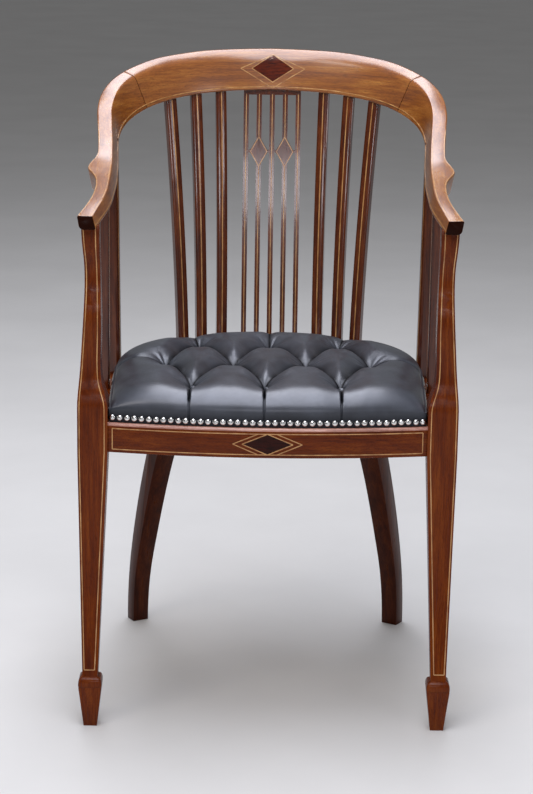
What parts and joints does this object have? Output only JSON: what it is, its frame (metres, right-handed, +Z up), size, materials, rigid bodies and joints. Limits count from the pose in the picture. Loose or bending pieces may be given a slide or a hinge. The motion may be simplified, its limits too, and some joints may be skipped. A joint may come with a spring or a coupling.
{
  "type": "open armchair",
  "caption": "Inlaid mahogany open armchair: horseshoe crest and arms, slatted back with pierced splat, bow front, tapered spade legs, buttoned leather seat with domed nails.",
  "frame": {"origin": "on the floor, under the middle of the chair's bounding box", "axes": "+Z up, the sitter faces -Y, +X to the right seen from the front"},
  "size_m": [0.503, 0.4975, 0.8757],
  "materials": {
    "mahogany": "French polish, semi-gloss",
    "lozenge_veneer": "French polish, semi-gloss",
    "boxwood": "French polish, semi-gloss",
    "beech": "bare, planed",
    "leather": "aniline hide, soft sheen",
    "nickel": "domed nickel, polished",
    "steel": "plain",
    "webbing": "woven jute",
    "hessian": "plain-woven jute",
    "hair": "curled hair, stitched"
  },
  "bodies": {
    "root": {"arm_left": "mahogany", "arm_right": "mahogany", "back_rail": "mahogany", "back_slat_left_1": "mahogany", "back_slat_left_2": "mahogany", "back_slat_left_3": "mahogany", "back_slat_right_1": "mahogany", "back_slat_right_2": "mahogany", "back_slat_right_3": "mahogany", "corner_block_screws": "steel", "crest_lozenge": "lozenge_veneer", "crest_rail": "mahogany", "crest_stringing": "boxwood", "front_corner_block_left": "beech", "front_corner_block_right": "beech", "front_leg_left": "mahogany", "front_leg_right": "mahogany", "front_nails": "nickel", "front_rail": "mahogany", "front_rail_lozenge": "lozenge_veneer", "front_rail_stringing": "boxwood", "hair_pad": "hair", "hessian": "hessian", "leather_cover": "leather", "pierced_splat": "mahogany", "rear_corner_block_left": "beech", "rear_corner_block_right": "beech", "rear_leg_left": "mahogany", "rear_leg_right": "mahogany", "scarf_tongue_left": "beech", "scarf_tongue_right": "beech", "side_nails": "nickel", "side_rail_left": "mahogany", "side_rail_right": "mahogany", "side_slat_left_1": "mahogany", "side_slat_left_2": "mahogany", "side_slat_right_1": "mahogany", "side_slat_right_2": "mahogany", "tuft_buttons": "leather", "webbing": "webbing"}
  },
  "joints": []
}
